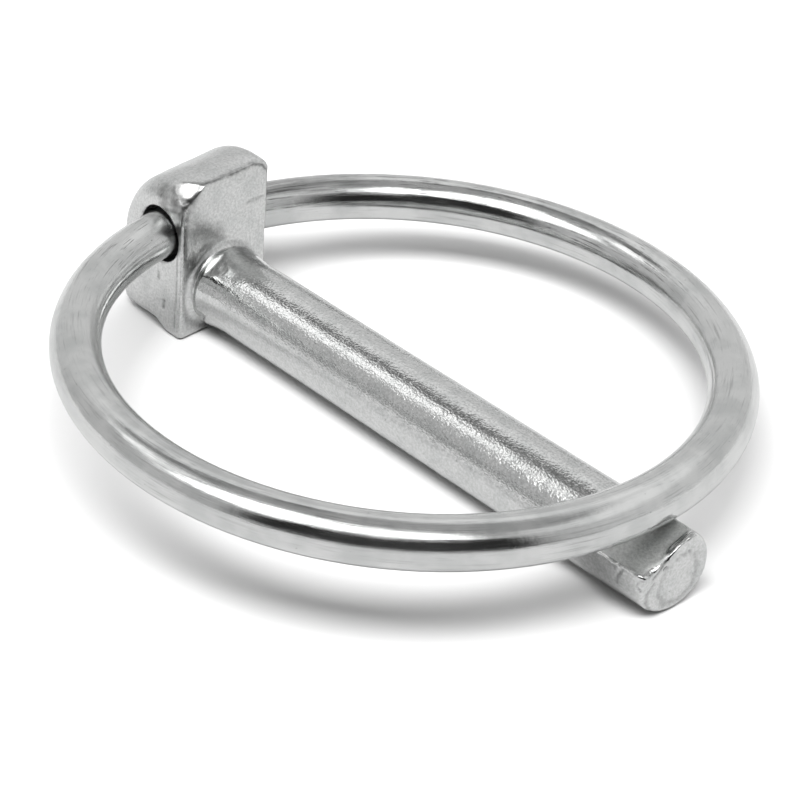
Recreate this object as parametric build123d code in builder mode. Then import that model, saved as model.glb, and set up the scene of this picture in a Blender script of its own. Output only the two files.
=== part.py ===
# Wire lock pin: a forged steel pin with a square head, and a ring of round spring wire that
# swings in the head's cross hole and snaps down over the tip.
#
# Frame: X runs along the shaft from the head to the tip, Y along the ring's hinge, Z up.
# The origin lies on the shaft's axis, in the plane of the shoulder where the shaft leaves the head.

import os
from math import acos, asin, cos, degrees, radians, sin, sqrt, tan

from build123d import *

# Driving dimensions, in millimetres and degrees

shaft_diameter = 6.0
shaft_length = 44.85  # shoulder to the middle of the cut end
shaft_end_slant = 6.0  # the end is sheared off this far out of square, longest towards -Y
shaft_end_bevel = 0.25  # rolled-over rim of the cut end
tip_draw = 0.08  # radius lost between the seat's start and the cut end
root_flare = 0.75  # the shaft widens by this much, over the same length, into the shoulder
root_flare_pull = 0.35  # how close the flare hugs its corner: 0 is tight, 1 is a straight cone

head_width = 8.0  # across the flats that the hole goes through
head_depth = 7.85  # shoulder to back
head_rise = 8.95  # shaft axis to the middle of the top
head_slope = 7.0  # the forged top and back rise this much towards +Y
head_drop = 3.2  # shaft axis to the underside
toe_drop = 3.8  # shaft axis to the underside of the toe, which the head rests on
toe_length = 1.8
toe_ramp = 1.3
back_radius = 6.5  # one big round from the shoulder over the top and down the back
corner_inset = 1.05  # the shoulder's top corner towards -Y is knocked flat: flank to the flat's middle
corner_drop = 1.0  # middle of the top to the same place
corner_facing = (0.38, -0.56, 0.735)  # the way that the flat faces
near_edge_radius = 1.9  # round along the flat on the -Y side, over the top and down the back
far_edge_radius = 0.9  # the same on the +Y side
sole_edge_radius = 0.5  # rounds along the two flats and the back, under the head
front_edge_radius = 0.4  # round up the flat on the -Y side, beside the shoulder

wire_diameter = 3.5
ring_inside_diameter = 41.4
ring_gap = 1.0  # between the wire's two cut ends, inside the head
ring_stagger = 0.2  # each cut end stands this far out of the ring's plane

hinge_setback = 2.65  # shoulder to the line that the ring turns about
hole_diameter = 4.3
hole_lift = 0.05  # the wire hangs this far below the middle of the hole
hole_back = 0.06  # and this far in front of it, pulled towards the tip
hole_chamfer = 0.12

seat_roll = 20.3  # the seat leans this far round the shaft, towards -Y
seat_depth = 1.38  # cut into the shaft's round
seat_length = 5.4  # along the shaft, from the cut end
seat_runout = 1.0  # round left by the cutter where the seat begins
seat_clearance = 0.02  # wire to the seat's upper edge, ring closed

# Sizes that follow from them

shaft_radius = shaft_diameter / 2
half_width = head_width / 2
wire_radius = wire_diameter / 2
hole_radius = hole_diameter / 2
ring_radius = (ring_inside_diameter + wire_diameter) / 2

# The big round leaves the flat back where it points straight backwards.
back_height = head_rise - sqrt(back_radius**2 - (head_depth - back_radius) ** 2)

# The wire rests on the higher edge of the seat, and the ring lies parallel to the shaft, so that
# edge sets the height of the hinge and of the cross hole.
seat_height = shaft_radius - seat_depth
seat_half_angle = degrees(acos(seat_height / shaft_radius))
seat_edge_angle = 90 + seat_roll - seat_half_angle
seat_edge_height = shaft_radius * sin(radians(seat_edge_angle))
hinge_height = seat_edge_height + wire_radius + seat_clearance

# Inside the head the wire still curves: its line is shared evenly about the hole's middle.
bow_in_head = (ring_radius - sqrt(ring_radius**2 - half_width**2)) / 2
ring_far_side = 2 * ring_radius - hinge_setback - bow_in_head

seat_start = shaft_length - seat_length
tip_end = shaft_length + shaft_radius * tan(radians(shaft_end_slant))

head_across = (0, cos(radians(head_slope)), sin(radians(head_slope)))

seat_plane = Plane(
    origin=(0, 0, 0),
    x_dir=(1, 0, 0),
    z_dir=(0, -cos(radians(seat_roll)), -sin(radians(seat_roll))),
)
end_plane = Plane(
    origin=(shaft_length, 0, 0),
    x_dir=(sin(radians(shaft_end_slant)), cos(radians(shaft_end_slant)), 0),
    z_dir=(cos(radians(shaft_end_slant)), -sin(radians(shaft_end_slant)), 0),
)
corner_place = (0, corner_inset - half_width, head_rise - corner_drop)
corner_plane = Plane(origin=corner_place, z_dir=corner_facing)
hole_centre = (-hinge_setback - hole_back, 0, hinge_height + hole_lift)
hole_plane = Plane(origin=hole_centre, x_dir=(1, 0, 0), z_dir=(0, 1, 0))

os.makedirs("parts", exist_ok=True)


# Shaft: flared root, round stem and the seat cut on the tip

with BuildPart() as shaft:
    with BuildSketch(Plane.XZ):
        with BuildLine():
            Polyline(
                (0, shaft_radius + root_flare),
                (0, 0),
                (tip_end, 0),
                (tip_end, shaft_radius - tip_draw),
                (seat_start, shaft_radius),
                (root_flare, shaft_radius),
            )
            Bezier(
                (root_flare, shaft_radius),
                (root_flare * root_flare_pull, shaft_radius),
                (0, shaft_radius + root_flare * root_flare_pull),
                (0, shaft_radius + root_flare),
            )
        make_face()
    revolve(axis=Axis.X)
    split(bisect_by=end_plane, keep=Keep.BOTTOM)
    chamfer(shaft.edges().sort_by(Axis.X)[-1], shaft_end_bevel)

    # Seat: a flat along the shaft, seen from the side of the cut, with the cutter's round at its start
    with BuildSketch(seat_plane):
        with BuildLine():
            Polyline(
                (seat_start, shaft_radius + seat_runout),
                (seat_start, seat_height + seat_runout),
            )
            RadiusArc(
                (seat_start, seat_height + seat_runout),
                (seat_start + seat_runout, seat_height),
                -seat_runout,
            )
            Polyline(
                (seat_start + seat_runout, seat_height),
                (shaft_length + seat_runout, seat_height),
                (shaft_length + seat_runout, shaft_radius + seat_runout),
                (seat_start, shaft_radius + seat_runout),
            )
        make_face()
    extrude(amount=shaft_radius, both=True, mode=Mode.SUBTRACT)


# Pin: the head with its cross hole, in one piece with the shaft

with BuildPart() as pin:
    # The head's side view, given its width along the slope and longer below than the finished head
    with BuildSketch(Plane.XZ):
        with BuildLine():
            Polyline(
                (-head_depth, back_height),
                (-head_depth, -2 * toe_drop),
                (0, -2 * toe_drop),
                (0, head_rise),
            )
            RadiusArc((0, head_rise), (-head_depth, back_height), -back_radius)
        make_face()
    extrude(amount=half_width / cos(radians(head_slope)), dir=head_across, both=True)

    # The underside is cut level, with a toe under the shoulder
    with BuildSketch(Plane.XZ):
        with BuildLine():
            Polyline(
                (-2 * head_depth, -head_drop),
                (-toe_length - toe_ramp, -head_drop),
                (-toe_length, -toe_drop),
                (head_depth, -toe_drop),
                (head_depth, -3 * toe_drop),
                (-2 * head_depth, -3 * toe_drop),
                (-2 * head_depth, -head_drop),
            )
        make_face()
    extrude(amount=head_width, both=True, mode=Mode.SUBTRACT)

    # Rounds over the top and down the back, along the two flats
    flat_edges = pin.faces().filter_by(Axis.Y).edges()
    sole_edges = flat_edges.filter_by(lambda edge: edge.center().Z < -head_drop / 2)
    front_edges = flat_edges.filter_by(Axis.Z).sort_by(Axis.X)[-2:]
    crown_edges = flat_edges - sole_edges - front_edges
    fillet(crown_edges.filter_by(lambda edge: edge.center().Y > 0), far_edge_radius)
    fillet(crown_edges.filter_by(lambda edge: edge.center().Y < 0), near_edge_radius)

    # The knocked corner, then small rounds beside the shoulder and under the head
    split(bisect_by=corner_plane, keep=Keep.BOTTOM)
    near_flat = pin.faces().filter_by(Axis.Y).sort_by(Axis.Y)[0]
    fillet(near_flat.edges().filter_by(Axis.Z).sort_by(Axis.X)[-1], front_edge_radius)
    sole_edges = pin.edges().filter_by(lambda edge: edge.center().Z < -head_drop / 2)
    sole_edges = sole_edges - sole_edges.filter_by(Axis.Y).sort_by(Axis.X)[1:]
    fillet(sole_edges, sole_edge_radius)

    # Cross hole for the ring, with its mouths broken
    with Locations(hole_plane):
        Hole(radius=hole_radius)
    mouths = pin.faces().filter_by(Axis.Y).edges().filter_by(GeomType.CIRCLE)
    mouths = mouths.filter_by(lambda edge: abs(edge.radius - hole_radius) < 0.01)
    chamfer(mouths, hole_chamfer)

    add(shaft.part)

pin.part.label = "pin"
export_step(pin.part, "parts/pin.step")


# Ring: two half turns of wire that part a little from the ring's plane, one up and one down, as
# they run from the seat to the head. There the two cut ends face each other across a small gap.

ring_lean = asin(ring_stagger / (2 * ring_radius))
half_turn = 180 - degrees(ring_gap / 2 / ring_radius)
wire_plane = Plane(origin=(ring_far_side, 0, hinge_height), x_dir=(1, 0, 0), z_dir=(0, 1, 0))

with BuildPart() as ring:
    for side in (1, -1):
        with BuildSketch(wire_plane) as wire_section:
            Circle(wire_radius)
        half_centre = (
            ring_far_side - ring_radius * cos(ring_lean),
            0,
            hinge_height - side * ring_radius * sin(ring_lean),
        )
        half_axis = Axis(half_centre, (-sin(ring_lean), 0, side * cos(ring_lean)))
        revolve(wire_section.sketch, axis=half_axis, revolution_arc=half_turn)

ring.part.label = "ring"
export_step(ring.part, "parts/ring.step")
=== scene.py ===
# Wire lock pin, dressed for its picture. The imported solids give the shapes and the motion.
# This file adds the zinc finish, the marks of forging and wear, some painted shade, the light tent, the floor
# and the camera.

import math

import bmesh
import bpy
from mathutils import Euler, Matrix, Vector, noise as turbulence
from mathutils.kdtree import KDTree


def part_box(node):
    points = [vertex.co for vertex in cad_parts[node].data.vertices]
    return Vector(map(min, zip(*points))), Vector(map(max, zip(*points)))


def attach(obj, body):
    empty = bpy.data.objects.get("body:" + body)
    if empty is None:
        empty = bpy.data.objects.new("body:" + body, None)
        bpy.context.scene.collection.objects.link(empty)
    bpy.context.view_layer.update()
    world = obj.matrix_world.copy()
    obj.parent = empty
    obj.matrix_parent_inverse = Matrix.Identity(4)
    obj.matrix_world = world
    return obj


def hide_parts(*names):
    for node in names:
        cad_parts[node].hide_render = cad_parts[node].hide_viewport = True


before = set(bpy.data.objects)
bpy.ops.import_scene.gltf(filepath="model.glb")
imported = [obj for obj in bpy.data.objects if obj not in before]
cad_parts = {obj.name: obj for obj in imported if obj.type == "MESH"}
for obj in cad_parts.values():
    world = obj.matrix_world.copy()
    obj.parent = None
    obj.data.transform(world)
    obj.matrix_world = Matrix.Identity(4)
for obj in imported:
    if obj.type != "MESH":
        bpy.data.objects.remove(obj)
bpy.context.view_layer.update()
scene = bpy.context.scene

mm = 0.001


# Short hands for shader nodes

def addNode(tree, kind, **settings):
    node = tree.nodes.new(kind)
    for name, value in settings.items():
        setattr(node, name, value)
    return node


def feed(tree, socket, source):
    if hasattr(source, "is_output"):
        tree.links.new(source, socket)
    else:
        socket.default_value = source


def calc(tree, operation, a, b=0.0):
    node = addNode(tree, "ShaderNodeMath", operation=operation)
    feed(tree, node.inputs[0], a)
    feed(tree, node.inputs[1], b)
    return node.outputs[0]


def times(tree, product, *others):
    for other in others:
        product = calc(tree, "MULTIPLY", product, other)
    return product


def ramp(tree, value, low, high, start=0.0, end=1.0):  # smooth step from start to end
    node = addNode(tree, "ShaderNodeMapRange", interpolation_type="SMOOTHSTEP")
    feed(tree, node.inputs["Value"], value)
    feed(tree, node.inputs["From Min"], low)
    feed(tree, node.inputs["From Max"], high)
    feed(tree, node.inputs["To Min"], start)
    feed(tree, node.inputs["To Max"], end)
    return node.outputs["Result"]


def between(tree, value, low, high, soft):  # 1 from low to high, with soft edges
    rising = ramp(tree, value, low - soft, low + soft)
    return times(tree, rising, ramp(tree, value, high - soft, high + soft, 1, 0))


def blendValue(tree, factor, a, b):
    node = addNode(tree, "ShaderNodeMix", data_type="FLOAT")
    feed(tree, node.inputs[0], factor)
    feed(tree, node.inputs[2], a)
    feed(tree, node.inputs[3], b)
    return node.outputs[0]


def blendColour(tree, factor, a, b, mode="MIX"):
    node = addNode(tree, "ShaderNodeMix", data_type="RGBA", blend_type=mode)
    feed(tree, node.inputs[0], factor)
    feed(tree, node.inputs[6], a)
    feed(tree, node.inputs[7], b)
    return node.outputs[2]


def noise(tree, vector, size, detail, roughness):  # size of one blotch, in the vector's unit
    node = addNode(tree, "ShaderNodeTexNoise")
    feed(tree, node.inputs["Vector"], vector)
    feed(tree, node.inputs["Scale"], 1.0 / size)
    feed(tree, node.inputs["Detail"], detail)
    feed(tree, node.inputs["Roughness"], roughness)
    return node.outputs["Fac"]


def patches(tree, vector, grain, span):  # noise, faded in over a span of its own levels
    return ramp(tree, noise(tree, vector, *grain), *span)


def bump(tree, pattern, height, strength, normal=None):  # height in millimetres
    node = addNode(tree, "ShaderNodeBump")
    feed(tree, node.inputs["Height"], pattern)
    node.inputs["Distance"].default_value = height * mm
    node.inputs["Strength"].default_value = strength
    if normal is not None:
        feed(tree, node.inputs["Normal"], normal)
    return node.outputs["Normal"]


def split(tree, vector):
    node = addNode(tree, "ShaderNodeSeparateXYZ")
    feed(tree, node.inputs[0], vector)
    return node.outputs


def join(tree, x, y, z):
    node = addNode(tree, "ShaderNodeCombineXYZ")
    feed(tree, node.inputs[0], x)
    feed(tree, node.inputs[1], y)
    feed(tree, node.inputs[2], z)
    return node.outputs[0]


def millimetres(tree):  # the object's own coordinates, in millimetres
    place = addNode(tree, "ShaderNodeTexCoord")
    scaled = addNode(tree, "ShaderNodeVectorMath", operation="SCALE")
    feed(tree, scaled.inputs[0], place.outputs["Object"])
    scaled.inputs["Scale"].default_value = 1 / mm
    return scaled.outputs[0]


def newMaterial(name):
    material = bpy.data.materials.new(name)
    material.use_nodes = True
    tree = material.node_tree
    tree.nodes.clear()
    shader = addNode(tree, "ShaderNodeBsdfPrincipled")
    output = addNode(tree, "ShaderNodeOutputMaterial")
    tree.links.new(shader.outputs[0], output.inputs["Surface"])
    shader.inputs["Metallic"].default_value = 1.0
    return material, tree, shader


# Zinc on the drawn wire: long drag marks, dull streaks, scratches on the left, a few dark pits,
# and a painted dark reflection band on the far wire beside the head.
# A grain is the size of one mark in millimetres, its detail and its roughness. A second pair says
# from which to which level of the noise the mark fades in. Places count from the ring's centre.

wireZinc = {
    "colour": (0.66, 0.665, 0.66, 1),
    "shade": (0.54, 0.55, 0.545, 1),
    "soot": (0.30, 0.305, 0.30, 1),
    "pitAndPaintedReflection": (0.10, 0.10, 0.10, 1),
    "ringCentre": (19.62, 0.0, 4.165),
    "ringRadius": 22.45,
    "stretch": 0.045,  # the wire's own length counts this little, so marks run along it
    "dash": 0.035,  # the same for short scratches
    "roughness": (0.11, 0.27),
    "drag": (0.09, 3.0, 0.65),
    "dragBump": (0.006, 0.7),  # height and strength
    "streak": (0.32, 3.0, 0.6),
    "streakLevels": (0.38, 0.72),
    "streakBump": (0.016, 0.6),
    "swell": (0.55, 2.0, 0.6),
    "swellBump": (0.012, 0.5),
    "blotches": ((3.2, 3.0, 0.6), (0.35, 0.7)),
    "dull": ((7.0, 1.0, 0.5), (0.42, 0.62)),
    "dullShare": 0.6,  # of the way to the rougher finish
    "darkening": ((0.22, 2.0, 0.6), (0.54, 0.72)),
    "dirtDepth": 0.5,
    "pits": ((0.3, 1.0, 0.5), (0.77, 0.82)),
    "pitDepth": 0.6,
    "pitBump": (-0.01, 0.6),
    "scratches": ((0.11, 3.0, 0.7), (0.54, 0.64)),
    "scratchedPlaces": ((1.8, 2.0, 0.6), (0.40, 0.58)),
    "scratchedSide": 0.8,  # they lie where this much of y is more than x
    "scratchedReach": (2, 16, 0.25, 1.0),
    "scratchedHeights": (-0.6, 0.4),
    "scratchDepth": 0.75,
    "paintedReflection": ((0.5, 3.0, 0.7), (0.35, 0.6)),  # painted dark reflection: deepens the mirrored dark band on top of the far wire beside the head
    "paintedReflectionAcross": (4.5, 12.5, 2.0),
    "paintedReflectionAlong": (-16, -12, 1, 0),
    "paintedReflectionHeights": (0.9, 1.6, 0.25),
    "paintedReflectionDepth": 0.7,
}


def makeWireZinc():
    w = wireZinc
    material, tree, shader = newMaterial("wireZinc")
    centred = addNode(tree, "ShaderNodeVectorMath", operation="SUBTRACT")
    feed(tree, centred.inputs[0], millimetres(tree))
    centred.inputs[1].default_value = w["ringCentre"]
    x, y, z = split(tree, centred.outputs[0])
    along = times(tree, calc(tree, "ARCTAN2", y, x), w["ringRadius"])
    reach = calc(tree, "SQRT", calc(tree, "ADD", times(tree, x, x), times(tree, y, y)))
    out = calc(tree, "SUBTRACT", reach, w["ringRadius"])
    wire = join(tree, along, out, z)
    drawn = join(tree, times(tree, along, w["stretch"]), out, z)
    dashed = join(tree, times(tree, along, w["dash"]), out, z)

    streak = noise(tree, drawn, *w["streak"])
    dull = patches(tree, wire, *w["dull"])
    dirty = times(tree, patches(tree, drawn, *w["darkening"]), dull)
    pits = patches(tree, wire, *w["pits"])
    leftward = calc(tree, "SUBTRACT", times(tree, y, w["scratchedSide"]), x)
    scratched = times(
        tree,
        patches(tree, dashed, *w["scratches"]),
        patches(tree, wire, *w["scratchedPlaces"]),
        ramp(tree, leftward, *w["scratchedReach"]),
        ramp(tree, z, *w["scratchedHeights"]),
    )
    # Painted dark reflection: the dark band that the top of the far wire mirrors beside the head, deepened in
    # the colour
    paintedReflectionMask = times(
        tree,
        between(tree, y, *w["paintedReflectionAcross"]),
        ramp(tree, x, *w["paintedReflectionAlong"]),
        between(tree, z, *w["paintedReflectionHeights"]),
        patches(tree, drawn, *w["paintedReflection"]),
    )
    tone = blendColour(tree, patches(tree, wire, *w["blotches"]), w["colour"], w["shade"])
    tone = blendColour(tree, times(tree, dirty, w["dirtDepth"]), tone, w["soot"])
    # the painted dark reflection band
    tone = blendColour(tree, times(tree, paintedReflectionMask, w["paintedReflectionDepth"]), tone, w["pitAndPaintedReflection"])
    tone = blendColour(tree, times(tree, scratched, w["scratchDepth"]), tone, w["pitAndPaintedReflection"])
    tone = blendColour(tree, times(tree, pits, w["pitDepth"]), tone, w["pitAndPaintedReflection"])
    feed(tree, shader.inputs["Base Color"], tone)

    streaked = ramp(tree, streak, *w["streakLevels"])
    worn = calc(tree, "MAXIMUM", streaked, times(tree, dull, w["dullShare"]))
    feed(tree, shader.inputs["Roughness"], ramp(tree, worn, 0.0, 1.0, *w["roughness"]))
    surface = bump(tree, noise(tree, drawn, *w["drag"]), *w["dragBump"])
    surface = bump(tree, streak, *w["streakBump"], surface)
    surface = bump(tree, noise(tree, wire, *w["swell"]), *w["swellBump"], surface)
    feed(tree, shader.inputs["Normal"], bump(tree, pits, *w["pitBump"], surface))
    return material


# Zinc on the forged head and shaft: a strong bead along the shaft, a fine satin on the head,
# dull on the pressed seat. The mesh itself says where the colour is darkened, by dirt on some marks
# and by painted shade on others, and where the metal is worn bright.
# Grains and levels are written as for the wire.

forgedZinc = {
    "colour": (0.65, 0.655, 0.65, 1),
    "shade": (0.58, 0.59, 0.585, 1),
    "speck": (0.16, 0.165, 0.16, 1),
    "darkening": (0.06, 0.06, 0.06, 1),
    "seat": (0.68, 0.69, 0.68, 1),
    "headRoughness": 0.28,
    "shaftRoughness": 0.115,
    "rootRoughness": 0.09,
    "seatRoughness": 0.5,
    "shineRoughness": 0.12,
    "headEnd": (0.2, 1.0, 1.0, 0.0),
    "beadStart": (3.6, 5.4),  # past the smooth flare
    "beadEnd": (41.0, 44.0, 1.0, 0.35),  # weaker at the tip
    "ragged": (1.6, 3.0, 0.6),  # the line where the bead starts
    "raggedBy": 2.5,
    "beadStretch": 0.7,
    "bead": (0.14, 1.0, 0.5),
    "beadBump": (0.016, 1.0),  # height and strength
    "fineBump": (0.010, 0.7),  # the same bead, faint, on head and shaft
    "fineOnShine": 0.2,
    "grain": (0.5, 2.0, 0.6),
    "grainBump": (0.026, 0.8),
    "swell": (2.6, 2.0, 0.5),
    "swellBump": (0.09, 0.5),
    "blotches": ((1.5, 3.0, 0.65), (0.38, 0.68)),
    "specks": ((0.36, 2.0, 0.7), (0.70, 0.77)),
    "speckDepth": 0.6,
    "mottle": ((0.2, 3.0, 0.7), (0.3, 0.7, 0.82, 1.1)),
}


def makeForgedZinc():
    f = forgedZinc
    material, tree, shader = newMaterial("forgedZinc")
    place = millimetres(tree)
    x, y, z = split(tree, place)
    # darkening: dirt on some marks, painted shade and painted dark reflections on others
    darkening = addNode(tree, "ShaderNodeAttribute", attribute_name="darkening").outputs["Fac"]
    shine = addNode(tree, "ShaderNodeAttribute", attribute_name="shine").outputs["Fac"]
    seat = addNode(tree, "ShaderNodeAttribute", attribute_name="seat").outputs["Fac"]
    onHead = ramp(tree, x, *f["headEnd"])
    ragged = calc(tree, "ADD", x, times(tree, noise(tree, place, *f["ragged"]), f["raggedBy"]))
    beaded = times(tree, ramp(tree, ragged, *f["beadStart"]), ramp(tree, x, *f["beadEnd"]))

    tone = blendColour(tree, patches(tree, place, *f["blotches"]), f["colour"], f["shade"])
    speckled = times(tree, patches(tree, place, *f["specks"]), f["speckDepth"])
    tone = blendColour(tree, speckled, tone, f["speck"])
    tone = blendColour(tree, seat, tone, f["seat"])
    mottle = patches(tree, place, *f["mottle"])
    tone = blendColour(tree, 1.0, tone, join(tree, mottle, mottle, mottle), "MULTIPLY")
    feed(tree, shader.inputs["Base Color"], blendColour(tree, darkening, tone, f["darkening"]))

    rough = blendValue(tree, beaded, f["rootRoughness"], f["shaftRoughness"])
    rough = blendValue(tree, onHead, rough, f["headRoughness"])
    rough = blendValue(tree, seat, rough, f["seatRoughness"])
    feed(tree, shader.inputs["Roughness"], blendValue(tree, shine, rough, f["shineRoughness"]))

    bead = noise(tree, join(tree, times(tree, x, f["beadStretch"]), y, z), *f["bead"])
    grain = noise(tree, place, *f["grain"])
    quiet = times(tree, bead, ramp(tree, shine, 0.0, 1.0, 1.0, f["fineOnShine"]))
    surface = bump(tree, noise(tree, place, *f["swell"]), *f["swellBump"])
    surface = bump(tree, times(tree, grain, onHead), *f["grainBump"], surface)
    surface = bump(tree, quiet, *f["fineBump"], surface)
    surface = bump(tree, times(tree, bead, beaded), *f["beadBump"], surface)
    feed(tree, shader.inputs["Normal"], surface)
    return material


# The forged pin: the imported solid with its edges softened, then the hammer's waves, folds, nicks and
# burrs. Lengths are in millimetres. A pair of places says where a change begins and where it is full.

pinForging = {
    "weld": 0.001,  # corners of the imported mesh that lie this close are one
    "cell": 0.145,  # size of a facet
    "softening": 1,  # strokes of smoothing over the whole piece
    "blunted": ((-0.5, -3.65, 7.5), 1.6, 45),  # the knocked corner's lower tip: place, reach, strokes
    "halfWidth": 4.0,
    "shoulder": (0.1, 0.9),
    "headWaves": ((2.6, 0.045), (0.9, 0.014)),  # size and height
    "holeAxis": (-2.71, 4.215),
    "holeReach": (2.25, 2.9),  # the waves leave the hole's mouths alone
    "shaftWaves": ((1.8, 0.010), (0.7, 0.005)),
    "shaftWavesEnd": (37.5, 38.8),
    "frontRound": 0.4,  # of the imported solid, drawn out again into a sharp edge
    "frontReach": 0.7,
    "frontDraw": 0.85,
    "frontFoot": (-3.6, -3.0),
    "frontTop": (6.6, 7.4),
    "rootReach": 4.0,  # from the shaft's axis
    "flareStart": (0.3, 0.8),
    "flareEnd": 3.4,
    "flareHeight": 0.42,
    "rootFlat": (33.0, 3.1, 5.5),  # flat beside the flare's top: its facing, height over the axis, end
    "rootFlatStart": (0.5, 0.9),
    "rootFlatDrop": 0.12,  # lower at the shoulder than at its end
    "soleRoll": 5.0,  # degrees that the underside of the head rises towards +Y
    "soleHeights": (-2.6, -0.6),
    "soleEnd": (0.4, 1.0),
    "seatLean": 20.3,
    "seatHeight": 1.62,
    "seatFacing": (0.93, 0.985),
    "seatStart": (39.4, 40.0),
    "seatEnd": (44.5, 44.8),
    "tipStart": 43.9,
    "tipRadius": 2.93,
    "endStart": (44.1, 44.6),
    "underSeat": (0.7, 0.05),  # the metal starts to move this deep under the seat, and is all moved here
    "burrHeight": 0.42,
    "burrAcross": (-0.6, 0.9),
    "edgeDip": 0.2,
    "dipAcross": (0.3, 2.0),
    "endDish": 0.10,
    "endFacing": 0.8,
    "dishReach": (1.0, 2.7),
    "tipStrokes": (43.8, -0.4, 4),  # smoothed from this x and this z on, and how many strokes
    "markSpacing": 0.06,  # between the points that follow a mark's line
    "markSearch": 1.5,  # times its reach
    "markRagged": (0.4, 0.3),  # share of its reach, and size
}

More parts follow.
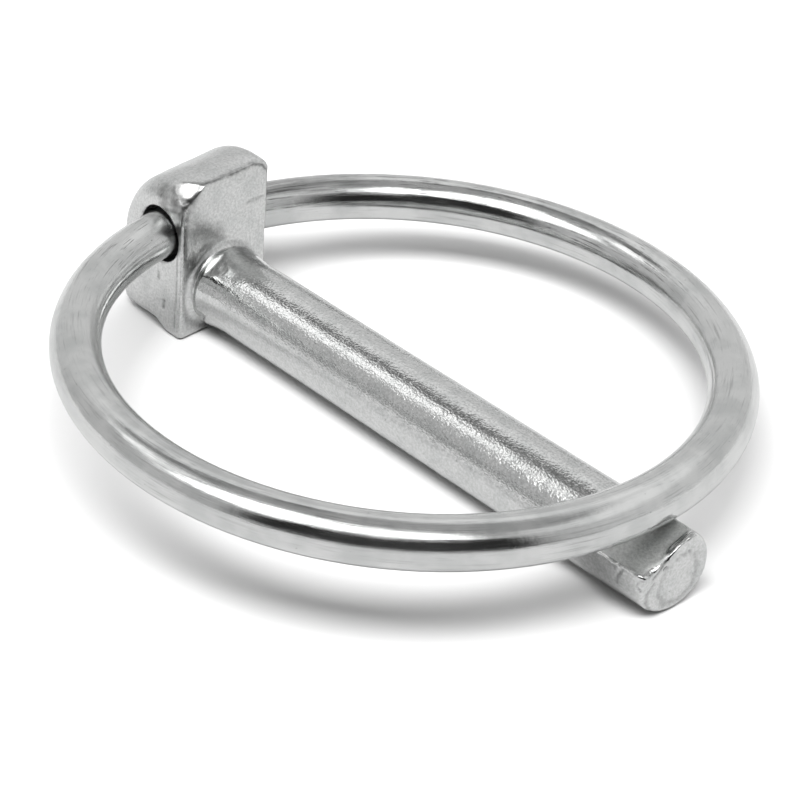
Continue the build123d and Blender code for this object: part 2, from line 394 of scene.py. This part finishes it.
# Lines on the surface: places, then reach to each side, depth, darkening and shine. The darkening
# is dirt on some lines, and painted shade on the lines whose note says so.
pinMarks = {
    "topCrease": (
        ((-0.3, -2.2, 8.7), (0, -0.7, 8.9), (0, 0.9, 9.0), (0, 2.5, 9.2), (0, 3.4, 8.9), (0, 3.9, 8.2)),
        (0.15, 0.04, 0.8, 0),
    ),
    "flatFront": (
        ((-0.3, -2.3, 8.6), (-0.1, -2.7, 8.2), (-0.2, -3.3, 7.8), (-0.1, -3.5, 7.5)),
        (0.17, 0.03, 0.7, 0),
    ),
    # Painted dark reflection over a shallow dent: the lower part of the knocked corner, which bends away from
    # the soft box
    "cornerDarkReflection": (
        ((-0.3, -3.5, 7.7), (-0.6, -3.6, 7.75)),
        (0.6, 0.03, 0.85, 0),
    ),
    # Painted shade on the rounded band between the head's top and near side, left of the knocked corner
    "cornerShade": (
        ((-1.6, -3.5, 8.2), (-1.15, -3.4, 8.15), (-0.8, -3.6, 7.85)),
        (0.6, 0, 0.65, 0),
    ),
    "nearEdge": (
        ((-0.1, -3.6, 7.4), (0, -3.75, 6.7), (-0.05, -3.8, 5.7), (-0.1, -3.85, 4.3),
         (-0.1, -3.85, 2.9), (-0.1, -3.9, 0.8), (-0.2, -3.95, -1.4), (-0.4, -4, -3)),
        (0.14, 0, 0, 0.6),
    ),
    # A faint groove behind the near front edge, darkened as a painted dark reflection of the rounded edge
    "nearFoldDarkReflection": (
        ((-0.45, -4, 5.6), (-0.5, -4, 4.3), (-0.5, -4, 2.9),
         (-0.5, -4, 0.8), (-0.6, -4, -1.4), (-0.7, -4, -2.8)),
        (0.13, 0.02, 0.5, 0),
    ),
    # Painted shade on the upper near side, between the hole and the front edge
    "sideShade": (
        ((-1.1, -3.85, 7.2), (-0.75, -4, 6.2), (-0.6, -4, 4.7)),
        (1.1, 0, 0.6, 0),
    ),
    # Painted shade on the upper near side, over and behind the hole
    "cheekShade": (
        ((-2.6, -3.7, 7.7), (-2.2, -3.95, 7.0), (-1.7, -4, 6.2), (-1.2, -4, 5.2)),
        (0.85, 0, 0.5, 0),
    ),
    "rimGlint": (
        ((-2.5, -4, 6.5), (-1.9, -4, 6.4), (-1.5, -4, 6.2), (-0.95, -4, 5.7)),
        (0.15, -0.04, 0, 0.9),
    ),
    # Painted shade on the front face beside the shaft's root
    "faceShade": (
        ((0, -2.7, 5.3), (0, -1.6, 4.9), (0, -0.6, 4.6)),
        (0.95, 0, 0.35, 0),
    ),
    # Painted shade on the front face, low beside the shaft's root
    "footShade": (
        ((0, -3.2, 3.3), (0, -3.0, 2.3)),
        (0.6, 0, 0.35, 0),
    ),
    # Painted dark reflection on top of the flare, where the smooth flare mirrors the dark ceiling
    "rootDarkReflection": (
        ((0.9, 0.9, 3.1), (1.8, 0.6, 3.1), (2.7, 0.6, 3.0), (3.5, 0.7, 2.9)),
        (0.95, 0, 0.6, 0),
    ),
    "holeScratch": (
        ((-2.8, -3.8, 7.7), (-2.6, -3.95, 7.1)),
        (0.16, 0.06, 0.8, 0),
    ),
    "dentHigh": (
        ((-2.6, -4, 1.1), (-2.6, -4, 0.5)),
        (0.22, 0.05, 0.4, 0),
    ),
    "dentLow": (
        ((-1.9, -4, -1.1), (-2.0, -4, -1.7)),
        (0.28, 0.08, 0.6, 0),
    ),
    "faceNickA": (
        ((0, 2.0, 6.1), (0, 2.7, 6.3)),
        (0.18, 0.05, 0.45, 0),
    ),
    "faceNickB": (
        ((0, 3.0, 6.2), (0, 3.5, 6.3)),
        (0.18, 0.05, 0.45, 0),
    ),
    "seatBurrA": (
        ((40.6, -2.9, 0.65), (41.2, -2.85, 0.7), (41.8, -2.9, 0.6), (42.5, -2.9, 0.55)),
        (0.28, -0.1, 0, 0.5),
    ),
    "seatBurrB": (
        ((42.8, -2.8, 0.7), (43.4, -2.85, 0.7), (44.0, -2.85, 0.65), (44.5, -2.7, 0.6)),
        (0.3, -0.1, 0, 0.3),
    ),
    "crackA": (
        ((42.65, -2.9, 0.7), (42.75, -2.95, 0.3), (42.5, -2.95, -0.3), (42.5, -2.85, -0.8)),
        (0.13, 0.04, 0.6, 0),
    ),
    "crackB": (
        ((44.5, -2.7, 0.5), (44.2, -2.9, 0.35), (44.15, -2.95, 0), (44.4, -2.8, -0.35)),
        (0.14, 0.06, 0.6, 0),
    ),
    # A groove where the seat meets the end face, darkened fully as painted shade in the gap
    "endCrackShade": (
        ((44.6, -2.0, 0.3), (44.6, -1.6, 0.65), (44.6, -1.2, 1.05), (44.6, -0.75, 1.5)),
        (0.17, 0.06, 1.0, 0),
    ),
    "endBurr": (
        ((44.35, -1.5, 1.0), (44.4, -0.8, 1.4)),
        (0.16, -0.02, 0, 0.4),
    ),
    "fold": (
        ((44.8, -0.9, 0.6), (44.85, -0.4, 0.75), (44.9, 0.2, 1.2), (44.95, 0.95, 1.35)),
        (0.26, 0.15, 0.7, 0),
    ),
    "rimLine": (
        ((44.75, -0.9, 0.6), (44.75, -1.05, -0.2), (44.72, -1.25, -1.1), (44.78, -0.65, -2.2),
         (44.9, 0.6, -2.3), (45.0, 1.75, -1.6), (45.05, 1.9, -0.2), (45.0, 1.55, 1.0)),
        (0.34, 0.09, 0.3, 0),
    ),
    "rimLeft": (
        ((44.65, -1.8, -0.1), (44.6, -2.3, -0.7), (44.6, -2.3, -1.4), (44.5, -1.65, -2.4)),
        (0.2, 0.06, 0.45, 0),
    ),
}


def step(value, low, high):  # smooth step from 0 to 1
    t = min(max((value - low) / (high - low), 0.0), 1.0)
    return t * t * (3.0 - 2.0 * t)


def copyNode(node):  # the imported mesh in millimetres, its loose triangles merged
    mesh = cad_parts[node].data.copy()
    bm = bmesh.new()
    bm.from_mesh(mesh)
    bmesh.ops.remove_doubles(bm, verts=bm.verts, dist=pinForging["weld"] * mm)
    bmesh.ops.scale(bm, verts=bm.verts, vec=(1 / mm, 1 / mm, 1 / mm))
    bm.to_mesh(mesh)
    bm.free()
    return mesh


def evenFacets(mesh, cell):  # the same shape in facets of one size
    thing = bpy.data.objects.new("work", mesh)
    scene.collection.objects.link(thing)
    remesh = thing.modifiers.new("even", "REMESH")
    remesh.mode = "VOXEL"
    remesh.voxel_size = cell
    shown = thing.evaluated_get(bpy.context.evaluated_depsgraph_get())
    result = bpy.data.meshes.new_from_object(shown)
    bpy.data.objects.remove(thing)
    return result


def waves(place, layers):
    return sum(height * turbulence.noise(place / size) for size, height in layers)


def smooth(bm, verts):
    bmesh.ops.smooth_vert(bm, verts=verts, factor=0.5, use_axis_x=True, use_axis_y=True, use_axis_z=True)


def seatAxes():  # across the seat, and straight out of it
    lean = math.radians(pinForging["seatLean"])
    return Vector((0, math.cos(lean), math.sin(lean))), Vector((0, -math.sin(lean), math.cos(lean)))


def drawFront(place):  # the near front edge of the head
    p = pinForging
    inner, outer = place.x + p["frontRound"], -place.y - p["halfWidth"] + p["frontRound"]
    away = math.hypot(inner, outer)
    if inner <= 0 or outer <= 0 or away >= p["frontReach"]:
        return place
    draw = (away / max(inner, outer) - 1) * p["frontDraw"]
    draw *= step(place.z, *p["frontFoot"]) * (1 - step(place.z, *p["frontTop"]))
    return place + Vector((inner * draw, -outer * draw, 0))


def widenRoot(place, normal):  # the flare at the shoulder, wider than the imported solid's
    p = pinForging
    start, full = p["flareStart"]
    if not start < place.x < p["flareEnd"] or place.yz.length >= p["rootReach"]:
        return place
    return place + normal * p["flareHeight"] * (1 - place.x / p["flareEnd"]) ** 2 * step(place.x, start, full)


def flattenRoot(place):
    p = pinForging
    start, full = p["rootFlatStart"]
    facing, height, end = p["rootFlat"]
    if not start < place.x < end or place.yz.length >= p["rootReach"]:
        return place
    flatUp = Vector((0, -math.sin(math.radians(facing)), math.cos(math.radians(facing))))
    over = place.dot(flatUp) - (height - p["rootFlatDrop"] * (1 - place.x / end))
    if over <= 0:
        return place
    return place - flatUp * over * step(place.x, start, full)


def soleRise(place):
    p = pinForging
    low = 1 - step(place.z, *p["soleHeights"])
    rise = (place.y + p["halfWidth"]) * math.tan(math.radians(p["soleRoll"]))
    return rise * low * (1 - step(place.x, *p["soleEnd"]))


def tipMove(place, seatAcross, seatUp):  # the cut end stands up on the far side and rolls over on the near
    p = pinForging
    across, up = place.dot(seatAcross), place.dot(seatUp)
    deep, shallow = p["underSeat"]
    nearSeat = step(up, p["seatHeight"] - deep, p["seatHeight"] - shallow)
    room = math.sqrt(max(p["tipRadius"] ** 2 - across ** 2, 0)) - p["seatHeight"]
    lift = min(p["burrHeight"] * step(across, *p["burrAcross"]), max(room, 0))
    dip = p["edgeDip"] * step(-across, *p["dipAcross"])
    return seatUp * (lift - dip) * step(place.x, *p["endStart"]) * nearSeat


def workPin(bm):
    p = pinForging
    holeX, holeZ = p["holeAxis"]
    seatAcross, seatUp = seatAxes()
    for vert in bm.verts:
        place, normal = vert.co.copy(), vert.normal.copy()
        onHead = 1 - step(place.x, *p["shoulder"])
        place = drawFront(place)
        clear = step(math.hypot(place.x - holeX, place.z - holeZ), *p["holeReach"])
        move = waves(place, p["headWaves"]) * onHead * clear
        calm = 1 - step(place.x, *p["shaftWavesEnd"])
        place = flattenRoot(widenRoot(place, normal))
        move += waves(place, p["shaftWaves"]) * (1 - onHead) * calm
        vert.co = place + normal * move
        vert.co.z += soleRise(place)
        if place.x > p["tipStart"]:
            vert.co += tipMove(place, seatAcross, seatUp)
            if normal.x > p["endFacing"]:
                vert.co.x -= p["endDish"] * (1 - step(place.yz.length, *p["dishReach"]))


def markPin(bm):
    p = pinForging
    darkening = bm.verts.layers.float.new("darkening")
    shine = bm.verts.layers.float.new("shine")
    seat = bm.verts.layers.float.new("seat")
    bm.verts.ensure_lookup_table()
    tree = KDTree(len(bm.verts))
    for vert in bm.verts:
        tree.insert(vert.co, vert.index)
    tree.balance()
    bm.normal_update()
    ragged, raggedSize = p["markRagged"]
    for places, (reach, depth, dark, bright) in pinMarks.values():
        near = {}
        places = [Vector(place) for place in places]
        for a, b in zip(places, places[1:]):
            parts = max(1, round((b - a).length / p["markSpacing"]))
            for part in range(parts + 1):
                for spot, index, gap in tree.find_range(a.lerp(b, part / parts), reach * p["markSearch"]):
                    near[index] = min(near.get(index, gap), gap)
        for index, gap in near.items():
            vert = bm.verts[index]
            gap += ragged * reach * turbulence.noise(vert.co / raggedSize)
            fall = 1 - step(gap, 0.0, reach)
            vert.co -= vert.normal * depth * fall
            # the darkening: dirt on some lines, painted shade on others
            vert[darkening] = max(vert[darkening], dark * fall)
            vert[shine] = max(vert[shine], bright * fall)
    seatUp = seatAxes()[1]
    for vert in bm.verts:
        facing = step(vert.normal.dot(seatUp), *p["seatFacing"])
        vert[seat] = facing * step(vert.co.x, *p["seatStart"]) * (1 - step(vert.co.x, *p["seatEnd"]))


def layOnFloor(bm):  # nothing reaches below the floor, or out of the solid's own box along x and z
    low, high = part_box("pin")
    for vert in bm.verts:
        vert.co.z = max(vert.co.z, floorHeight(vert.co.x, vert.co.y))
        vert.co.x = min(max(vert.co.x, low[0] / mm), high[0] / mm)
        vert.co.z = min(max(vert.co.z, low[2] / mm), high[2] / mm)


def makePin():
    p = pinForging
    mesh = evenFacets(copyNode("pin"), p["cell"])
    bm = bmesh.new()
    bm.from_mesh(mesh)
    for stroke in range(p["softening"]):
        smooth(bm, bm.verts)
    spot, reach, strokes = p["blunted"]
    for stroke in range(strokes):  # the smoothed patch shrinks to half its reach
        smaller = reach * (1 - stroke / strokes / 2)
        smooth(bm, [vert for vert in bm.verts if (vert.co - Vector(spot)).length < smaller])
    bm.normal_update()
    workPin(bm)
    fromX, fromZ, strokes = p["tipStrokes"]
    for stroke in range(strokes):
        smooth(bm, [vert for vert in bm.verts if vert.co.x > fromX and vert.co.z > fromZ])
    markPin(bm)
    layOnFloor(bm)
    bmesh.ops.scale(bm, verts=bm.verts, vec=(mm, mm, mm))
    for face in bm.faces:
        face.smooth = True
    bm.to_mesh(mesh)
    bm.free()
    mesh.materials.clear()
    mesh.materials.append(makeForgedZinc())
    piece = bpy.data.objects.new("pinForged", mesh)
    scene.collection.objects.link(piece)
    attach(piece, "pin")
    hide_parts("pin")
    print("pin forged,", 2 * len(mesh.polygons), "triangles")


# Floor: a white sheet under the head's near edge and the tip, as the pin really leans. A small lamp near
# the object draws its shadow, and the sheet is greyer close to the lamp, so that it shows evenly white.

floorSheet = {
    "heel": -3.45,  # height under the shoulder's middle, in millimetres
    "riseAlong": 0.0111,  # up towards the tip
    "riseAcross": 0.0875,  # up towards +Y
    "reach": 1.5,  # metres
    "white": 0.9,
    "shown": 1.42,  # white that the camera sees, with the light on it
    "mirrored": 1.06,  # and that the metal mirrors
    "roomShare": 1.0,  # light from the tent on the sheet
    "lampShare": 1.5,  # light from the lamp on the sheet, at the lamp's distance from the object
    "lampFall": 3.0,  # how fast that light falls with distance
}

shadowLamp = {
    "place": (0.084, -0.093, 0.214),
    "aim": (0.02, 0.0, -0.003),
    "width": 0.20,
    "height": 0.08,
    "power": 1.0,
}


def floorHeight(x, y):
    return floorSheet["heel"] + floorSheet["riseAlong"] * x + floorSheet["riseAcross"] * y


def makeLamp():
    place, aim = Vector(shadowLamp["place"]), Vector(shadowLamp["aim"])
    lamp = bpy.data.lights.new("shadowLamp", "AREA")
    lamp.shape = "RECTANGLE"
    lamp.size = shadowLamp["width"]
    lamp.size_y = shadowLamp["height"]
    lamp.energy = shadowLamp["power"]
    thing = bpy.data.objects.new("shadowLamp", lamp)
    scene.collection.objects.link(thing)
    thing.location = place
    thing.rotation_euler = (aim - place).to_track_quat("-Z", "Y").to_euler()
    thing.visible_glossy = False  # the metal mirrors the tent alone


def makePaper():
    s = floorSheet
    material = bpy.data.materials.new("paperWhite")
    material.use_nodes = True
    tree = material.node_tree
    tree.nodes.clear()
    place = addNode(tree, "ShaderNodeTexCoord")
    gap = addNode(tree, "ShaderNodeVectorMath", operation="DISTANCE")
    feed(tree, gap.inputs[0], place.outputs["Object"])
    gap.inputs[1].default_value = shadowLamp["place"]
    usual = (Vector(shadowLamp["place"]) - Vector(shadowLamp["aim"])).length
    nearer = calc(tree, "POWER", calc(tree, "DIVIDE", usual, gap.outputs["Value"]), s["lampFall"])
    light = calc(tree, "ADD", times(tree, nearer, s["lampShare"]), s["roomShare"])
    mirrored = calc(tree, "DIVIDE", s["mirrored"], light)
    shown = calc(tree, "DIVIDE", s["shown"], light)
    rays = addNode(tree, "ShaderNodeLightPath")
    level = blendValue(tree, rays.outputs["Is Glossy Ray"], s["white"], mirrored)
    level = blendValue(tree, rays.outputs["Is Camera Ray"], level, shown)
    paper = addNode(tree, "ShaderNodeBsdfDiffuse")
    feed(tree, paper.inputs["Color"], join(tree, level, level, level))
    output = addNode(tree, "ShaderNodeOutputMaterial")
    tree.links.new(paper.outputs[0], output.inputs["Surface"])
    return material


def makeFloor():
    s = floorSheet
    facing = Vector((-s["riseAlong"], -s["riseAcross"], 1)).normalized()
    lean = Vector((0, 0, 1)).rotation_difference(facing).to_matrix()
    mesh = bpy.data.meshes.new("floorSheet")
    bm = bmesh.new()
    bmesh.ops.create_grid(bm, x_segments=1, y_segments=1, size=s["reach"])
    bmesh.ops.rotate(bm, verts=bm.verts, cent=(0, 0, 0), matrix=lean)
    bmesh.ops.translate(bm, verts=bm.verts, vec=(0, 0, s["heel"] * mm))
    bm.to_mesh(mesh)
    bm.free()
    mesh.materials.append(makePaper())
    floor = bpy.data.objects.new("floorSheet", mesh)
    scene.collection.objects.link(floor)


# Light tent: a grey room, one big soft box over the near side, a small one on the left,
# and the dark gap where the lens looks in. Turns and rises are in degrees, from +X and from the
# horizon. Three numbers are a band and the softness of its edges. Two or four are a soft step.

tent = {
    "nearWall": 0.62,
    "farWallLow": 0.76,
    "farWall": 1.0,
    "farTurns": ((0, 25), (-180, -160, 1, 0)),
    "farRise": (34, 44),
    "ceiling": 0.44,
    "ceilingRise": (52, 64),
    "backDark": 0.21,  # a patch in the ceiling's edge, which the back of the head's side mirrors
    "backTurns": ((125, 138), (-174, -167, 1, 0)),
    "behindTurns": ((165, 172), (-100, -110)),
    "backLow": (55.0, 46.0),  # its lower edge, and the same behind the head
    "backSoft": (-2, 2),
    "backHigh": (59, 66, 1, 0),
    "sideBox": 1.7,  # draws the line of light along the shaft
    "sideTurns": (-163, -140, 2),
    "sideRise": (39, 53, 1.5),
    "box": 3.4,
    "boxTurns": (-127, -14, 6),
    "boxLow": (-95, -65, 38, 50),  # its lower edge rises from 38 to 50 between these turns
    "boxSoft": (-4, 4),
    "boxHigh": (71, 77, 1, 0),
    "gap": 0.03,  # under the big box
    "gapTurns": (-92, -1, 8),
    "gapSoft": (-8, -2, 1, 0),
    "gapLow": (-8, 6),
}


def makeTent():
    t = tent
    world = bpy.data.worlds.new("tent")
    scene.world = world
    world.use_nodes = True
    tree = world.node_tree
    tree.nodes.clear()
    place = addNode(tree, "ShaderNodeTexCoord")
    x, y, z = split(tree, place.outputs["Generated"])
    turn = times(tree, calc(tree, "ARCTAN2", y, x), 180 / math.pi)
    rise = times(tree, calc(tree, "ARCSINE", z), 180 / math.pi)

    def eitherSide(turns):  # a band across -X, where the turn jumps from 180 to -180
        return calc(tree, "MAXIMUM", ramp(tree, turn, *turns[0]), ramp(tree, turn, *turns[1]))

    farLevel = ramp(tree, rise, *t["farRise"], t["farWallLow"], t["farWall"])
    level = blendValue(tree, eitherSide(t["farTurns"]), t["nearWall"], farLevel)
    level = blendValue(tree, ramp(tree, rise, *t["ceilingRise"]), level, t["ceiling"])

    backLow = blendValue(tree, eitherSide(t["behindTurns"]), *t["backLow"])
    overLow = ramp(tree, calc(tree, "SUBTRACT", rise, backLow), *t["backSoft"])
    inBack = times(tree, overLow, ramp(tree, rise, *t["backHigh"]))
    level = blendValue(tree, times(tree, eitherSide(t["backTurns"]), inBack), level, t["backDark"])

    inSide = times(tree, between(tree, turn, *t["sideTurns"]), between(tree, rise, *t["sideRise"]))
    level = blendValue(tree, inSide, level, t["sideBox"])

    overBoxLow = calc(tree, "SUBTRACT", rise, ramp(tree, turn, *t["boxLow"]))
    inBox = times(tree, ramp(tree, overBoxLow, *t["boxSoft"]), ramp(tree, rise, *t["boxHigh"]))
    level = blendValue(tree, times(tree, inBox, between(tree, turn, *t["boxTurns"])), level, t["box"])

    inGap = times(tree, ramp(tree, overBoxLow, *t["gapSoft"]), ramp(tree, rise, *t["gapLow"]))
    level = blendValue(tree, times(tree, inGap, between(tree, turn, *t["gapTurns"])), level, t["gap"])

    rays = addNode(tree, "ShaderNodeLightPath")
    level = blendValue(tree, rays.outputs["Is Camera Ray"], level, 1.0)  # white behind the object
    background = addNode(tree, "ShaderNodeBackground")
    feed(tree, background.inputs["Strength"], level)
    output = addNode(tree, "ShaderNodeOutputWorld")
    tree.links.new(background.outputs[0], output.inputs["Surface"])
    background.inputs["Color"].default_value = (1, 1, 1, 1)


def dress(node, material):
    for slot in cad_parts[node].material_slots:
        slot.material = material


dress("ring", makeWireZinc())
print("ring dressed")
makePin()
makeFloor()
makeLamp()
makeTent()
print("floor, lamp and tent done")


# Camera: a long lens from the tip's side, a third of the way up

view = {
    "place": (0.10782, -0.09170, 0.08130),
    "turn": (57.252, -4.468, 46.797),
    "lens": 97.66,
    "sensor": 36.0,
    "clip": (0.005, 10.0),
}


def makeCamera():
    lens = bpy.data.cameras.new("view")
    lens.lens = view["lens"]
    lens.sensor_width = view["sensor"]
    lens.clip_start, lens.clip_end = view["clip"]
    camera = bpy.data.objects.new("view", lens)
    scene.collection.objects.link(camera)
    camera.location = view["place"]
    camera.rotation_euler = Euler([math.radians(a) for a in view["turn"]])
    scene.camera = camera


makeCamera()
scene.view_settings.view_transform = "Standard"

print("scene done")
